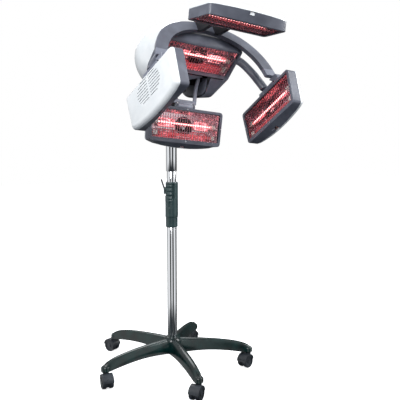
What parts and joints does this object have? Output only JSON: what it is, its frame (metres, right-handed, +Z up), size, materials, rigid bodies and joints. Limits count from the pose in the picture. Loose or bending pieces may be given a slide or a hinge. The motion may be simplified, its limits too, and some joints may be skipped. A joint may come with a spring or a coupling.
{
  "type": "hood hair dryer",
  "caption": "Infrared hair dryer: hinged heater panels with grilles around the head space, round housing and hoop, on a telescopic column with a castered star base.",
  "frame": {"origin": "on the floor, under the axis of the column", "axes": "+Z up along the column; the client sits on the -Y side; +X is to the right for someone looking along +Y"},
  "size_m": [0.6059, 0.8165, 1.3215],
  "materials": {
    "black_green": "glossy",
    "gray_plastic": "satin",
    "light_gray": "satin",
    "white_plastic": "gloss",
    "black_plastic": "satin",
    "chrome": "polished",
    "steel": "brushed",
    "tray_metal": "bright",
    "grille_wire": "satin",
    "lamp_glass": "clear",
    "castor_plastic": "satin"
  },
  "bodies": {
    "base": {"star_base": "black_green", "outer_tube": "chrome", "clamp_body": "black_green"},
    "lever": {"clamp_lever": "black_plastic"},
    "mast": {"inner_tube": "chrome", "socket_tube": "chrome"},
    "neck": {"neck_fork": "steel", "roll_pin": "chrome"},
    "roll_block": {"cross_block": "steel"},
    "head": {"tilt_pin": "chrome", "chassis": "steel", "rear_shell": "white_plastic", "front_shell": "gray_plastic", "chin_shell": "gray_plastic", "centre_grille": "grille_wire", "centre_tray": "tray_metal", "centre_lamps": "lamp_glass", "hoop": "gray_plastic", "left_knuckle": "light_gray", "right_knuckle": "light_gray", "top_bracket": "black_plastic", "power_inlet": "black_plastic"},
    "centre_fan": {"centre_fan": "black_plastic"},
    "rocker": {"rocker_switch": "black_plastic"},
    "nape_link": {"nape_fork": "light_gray"},
    "castor_1": {"castor_fork_1": "castor_plastic"},
    "wheels_1": {"castor_wheels_1": "castor_plastic"},
    "castor_2": {"castor_fork_2": "castor_plastic"},
    "wheels_2": {"castor_wheels_2": "castor_plastic"},
    "castor_3": {"castor_fork_3": "castor_plastic"},
    "wheels_3": {"castor_wheels_3": "castor_plastic"},
    "castor_4": {"castor_fork_4": "castor_plastic"},
    "wheels_4": {"castor_wheels_4": "castor_plastic"},
    "castor_5": {"castor_fork_5": "castor_plastic"},
    "wheels_5": {"castor_wheels_5": "castor_plastic"},
    "right_panel": {"right_frame": "gray_plastic", "right_cover": "white_plastic", "right_grille": "grille_wire", "right_tray": "tray_metal", "right_lamps": "lamp_glass"},
    "right_fan": {"right_fan": "black_plastic"},
    "left_panel": {"left_frame": "gray_plastic", "left_cover": "white_plastic", "left_grille": "grille_wire", "left_tray": "tray_metal", "left_lamps": "lamp_glass"},
    "left_fan": {"left_fan": "black_plastic"},
    "top_panel": {"top_frame": "gray_plastic", "top_cover": "white_plastic", "top_grille": "grille_wire", "top_tray": "tray_metal", "top_lamps": "lamp_glass"},
    "top_fan": {"top_fan": "black_plastic"},
    "nape_panel": {"nape_frame": "gray_plastic", "nape_cover": "white_plastic", "nape_grille": "grille_wire", "nape_tray": "tray_metal", "nape_lamps": "lamp_glass"},
    "nape_fan": {"nape_fan": "black_plastic"}
  },
  "joints": [
    {"name": "castor_1_swivel", "type": "hinge", "parent": "base", "child": "castor_1", "pos_m": [-0.29708, -0.04175, 0.06], "axis": [0, 0, 1], "continuous": true},
    {"name": "wheels_1_roll", "type": "hinge", "parent": "castor_1", "child": "wheels_1", "pos_m": [-0.29959, -0.05958, 0.025], "axis": [0.9903, -0.1392, 0], "continuous": true},
    {"name": "castor_2_swivel", "type": "hinge", "parent": "base", "child": "castor_2", "pos_m": [-0.05209, -0.29544, 0.06], "axis": [0, 0, 1], "continuous": true},
    {"name": "wheels_2_roll", "type": "hinge", "parent": "castor_2", "child": "wheels_2", "pos_m": [-0.06684, -0.30577, 0.025], "axis": [0.5736, -0.8192, 0], "continuous": true},
    {"name": "castor_3_swivel", "type": "hinge", "parent": "base", "child": "castor_3", "pos_m": [0.26488, -0.14084, 0.06], "axis": [0, 0, 1], "continuous": true},
    {"name": "wheels_3_roll", "type": "hinge", "parent": "castor_3", "child": "wheels_3", "pos_m": [0.24797, -0.147, 0.025], "axis": [0.342, -0.9397, 0], "continuous": true},
    {"name": "castor_4_swivel", "type": "hinge", "parent": "base", "child": "castor_4", "pos_m": [0.2158, 0.2084, 0.06], "axis": [0, 0, 1], "continuous": true},
    {"name": "wheels_4_roll", "type": "hinge", "parent": "castor_4", "child": "wheels_4", "pos_m": [0.19889, 0.20224, 0.025], "axis": [0.342, -0.9397, 0], "continuous": true},
    {"name": "castor_5_swivel", "type": "hinge", "parent": "base", "child": "castor_5", "pos_m": [-0.13151, 0.26964, 0.06], "axis": [0, 0, 1], "continuous": true},
    {"name": "wheels_5_roll", "type": "hinge", "parent": "castor_5", "child": "wheels_5", "pos_m": [-0.13912, 0.28595, 0.025], "axis": [-0.9063, -0.4226, 0], "continuous": true},
    {"name": "clamp_lever_turn", "type": "hinge", "parent": "base", "child": "lever", "pos_m": [-0.02119, 0.01127, 0.702], "axis": [-0.4695, -0.8829, 0], "range_deg": [0, 60]},
    {"name": "column_height", "type": "slide", "parent": "base", "child": "mast", "axis": [0, 0, 1], "range_m": [-0.035, 0.23]},
    {"name": "head_swivel", "type": "hinge", "parent": "mast", "child": "neck", "pos_m": [0, 0, 0.97], "axis": [0, 0, 1], "range_deg": [-170, 170]},
    {"name": "head_roll", "type": "hinge", "parent": "neck", "child": "roll_block", "pos_m": [0, 0, 1.06], "axis": [0, 1, 0], "range_deg": [-16, 4]},
    {"name": "head_tilt", "type": "hinge", "parent": "roll_block", "child": "head", "pos_m": [0.00272, 0, 1.08586], "axis": [0.9945, 0, -0.1045], "range_deg": [-15, 10]},
    {"name": "right_panel_hinge", "type": "hinge", "parent": "head", "child": "right_panel", "pos_m": [0.22849, -0.29947, 1.06555], "axis": [0.0014, 0.8734, -0.487], "range_deg": [-30, 10]},
    {"name": "right_fan_spin", "type": "hinge", "parent": "right_panel", "child": "right_fan", "pos_m": [0.22636, -0.33468, 1.0024], "axis": [-0.992, 0.0627, 0.1095], "continuous": true},
    {"name": "left_panel_hinge", "type": "hinge", "parent": "head", "child": "left_panel", "pos_m": [-0.22235, -0.29947, 1.11294], "axis": [-0.1027, 0.8734, -0.476], "range_deg": [-10, 30]},
    {"name": "left_fan_spin", "type": "hinge", "parent": "left_panel", "child": "left_fan", "pos_m": [-0.23339, -0.33468, 1.05072], "axis": [0.9931, 0.0627, -0.0992], "continuous": true},
    {"name": "top_panel_hinge", "type": "hinge", "parent": "head", "child": "top_panel", "pos_m": [0.02289, -0.345, 1.2778], "axis": [0.9945, 0, -0.1045], "range_deg": [-35, 15]},
    {"name": "top_fan_spin", "type": "hinge", "parent": "top_panel", "child": "top_fan", "pos_m": [0.02362, -0.417, 1.28476], "axis": [-0.1045, 0, -0.9945], "continuous": true},
    {"name": "nape_fork_swing", "type": "hinge", "parent": "head", "child": "nape_link", "pos_m": [0.00627, -0.112, 1.11967], "axis": [0.9945, 0, -0.1045], "range_deg": [-20, 3]},
    {"name": "nape_panel_hinge", "type": "hinge", "parent": "nape_link", "child": "nape_panel", "pos_m": [-0.0047, -0.11598, 1.01528], "axis": [0.9945, 0, -0.1045], "range_deg": [-20, 5]},
    {"name": "nape_fan_spin", "type": "hinge", "parent": "nape_panel", "child": "nape_fan", "pos_m": [-0.01226, -0.11276, 0.94341], "axis": [0.0055, -0.9986, 0.052], "continuous": true},
    {"name": "centre_fan_spin", "type": "hinge", "parent": "head", "child": "centre_fan", "pos_m": [0.01391, -0.17063, 1.19236], "axis": [-0.0699, -0.7431, -0.6655], "continuous": true},
    {"name": "rocker_tip", "type": "hinge", "parent": "head", "child": "rocker", "pos_m": [0.02411, 0.074, 1.16505], "axis": [0.9945, 0, -0.1045], "range_deg": [-8, 8]}
  ]
}
